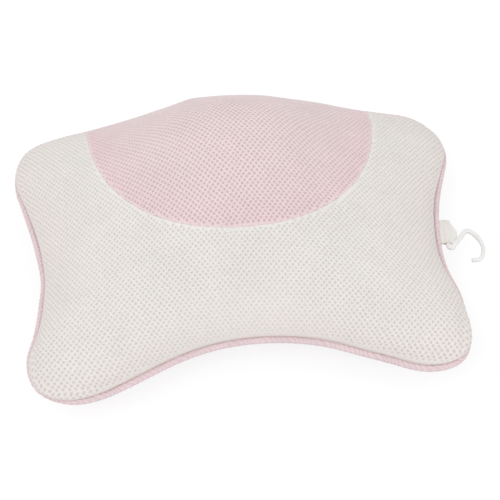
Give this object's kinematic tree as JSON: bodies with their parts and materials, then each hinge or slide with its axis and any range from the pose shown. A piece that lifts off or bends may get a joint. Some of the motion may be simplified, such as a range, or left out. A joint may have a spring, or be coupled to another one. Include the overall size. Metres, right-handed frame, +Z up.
{
  "type": "bath pillow",
  "caption": "Padded bath pillow in ivory and pink spacer mesh with a piped edge, an oval head inset, suction cups on its back and a hanging hook on a ribbon loop.",
  "frame": {"origin": "middle of the part's bounding box in plan, on the surface that the suction cups stand on", "axes": "+X across the pillow towards the side with the hook, +Y from the neck notch to the head edge, +Z up out of the padded front"},
  "size_m": [0.3922, 0.301, 0.1111],
  "materials": {
    "ivory_mesh": "matte spacer mesh with small oval holes in staggered rows",
    "pink_mesh": "matte spacer mesh with small oval holes in staggered rows",
    "pink_backing": "matte spacer mesh",
    "pink_piping": "matte fine mesh strip sewn round a cord",
    "cotton_cord": "soft twisted cord",
    "fibre": "loose white polyester fibre",
    "ribbon": "smooth ribbed ribbon",
    "clear_vinyl": "clear soft vinyl",
    "white_plastic": "smooth moulded plastic",
    "hook_plastic": "smooth milky moulded plastic"
  },
  "bodies": {
    "cover": {"front_panel": "ivory_mesh", "head_inset_panel": "pink_mesh", "back_panel": "pink_backing", "edge_piping": "pink_piping", "piping_cord": "cotton_cord", "base_pad": "fibre", "head_bolster": "fibre", "eyelet_1": "white_plastic", "eyelet_2": "white_plastic", "eyelet_3": "white_plastic", "eyelet_4": "white_plastic", "eyelet_5": "white_plastic", "eyelet_6": "white_plastic", "eyelet_washer_1": "white_plastic", "eyelet_washer_2": "white_plastic", "eyelet_washer_3": "white_plastic", "eyelet_washer_4": "white_plastic", "eyelet_washer_5": "white_plastic", "eyelet_washer_6": "white_plastic"},
    "cup_1": {"suction_cup_1": "clear_vinyl"},
    "cup_2": {"suction_cup_2": "clear_vinyl"},
    "cup_3": {"suction_cup_3": "clear_vinyl"},
    "cup_4": {"suction_cup_4": "clear_vinyl"},
    "cup_5": {"suction_cup_5": "clear_vinyl"},
    "cup_6": {"suction_cup_6": "clear_vinyl"},
    "tab": {"hook_tab": "ribbon"},
    "hook": {"hang_hook": "hook_plastic"}
  },
  "joints": [
    {"name": "cup_1_turn", "type": "hinge", "parent": "cover", "child": "cup_1", "pos_m": [-0.10105, -0.05544, 0.0146], "axis": [0, 0, 1], "continuous": true},
    {"name": "cup_2_turn", "type": "hinge", "parent": "cover", "child": "cup_2", "pos_m": [-0.00605, -0.05544, 0.0146], "axis": [0, 0, 1], "continuous": true},
    {"name": "cup_3_turn", "type": "hinge", "parent": "cover", "child": "cup_3", "pos_m": [0.08895, -0.05544, 0.0146], "axis": [0, 0, 1], "continuous": true},
    {"name": "cup_4_turn", "type": "hinge", "parent": "cover", "child": "cup_4", "pos_m": [-0.10105, 0.04456, 0.0146], "axis": [0, 0, 1], "continuous": true},
    {"name": "cup_5_turn", "type": "hinge", "parent": "cover", "child": "cup_5", "pos_m": [-0.00605, 0.04456, 0.0146], "axis": [0, 0, 1], "continuous": true},
    {"name": "cup_6_turn", "type": "hinge", "parent": "cover", "child": "cup_6", "pos_m": [0.08895, 0.04456, 0.0146], "axis": [0, 0, 1], "continuous": true},
    {"name": "tab_flex", "type": "hinge", "parent": "cover", "child": "tab", "pos_m": [0.16441, -0.01368, 0.0279], "axis": [-0.0928, -0.9957, 0], "range_deg": [-60, 45]},
    {"name": "hook_swing", "type": "hinge", "parent": "tab", "child": "hook", "pos_m": [0.1675, -0.01397, 0.0279], "axis": [-0.0928, -0.9957, 0], "range_deg": [-90, 90]}
  ]
}
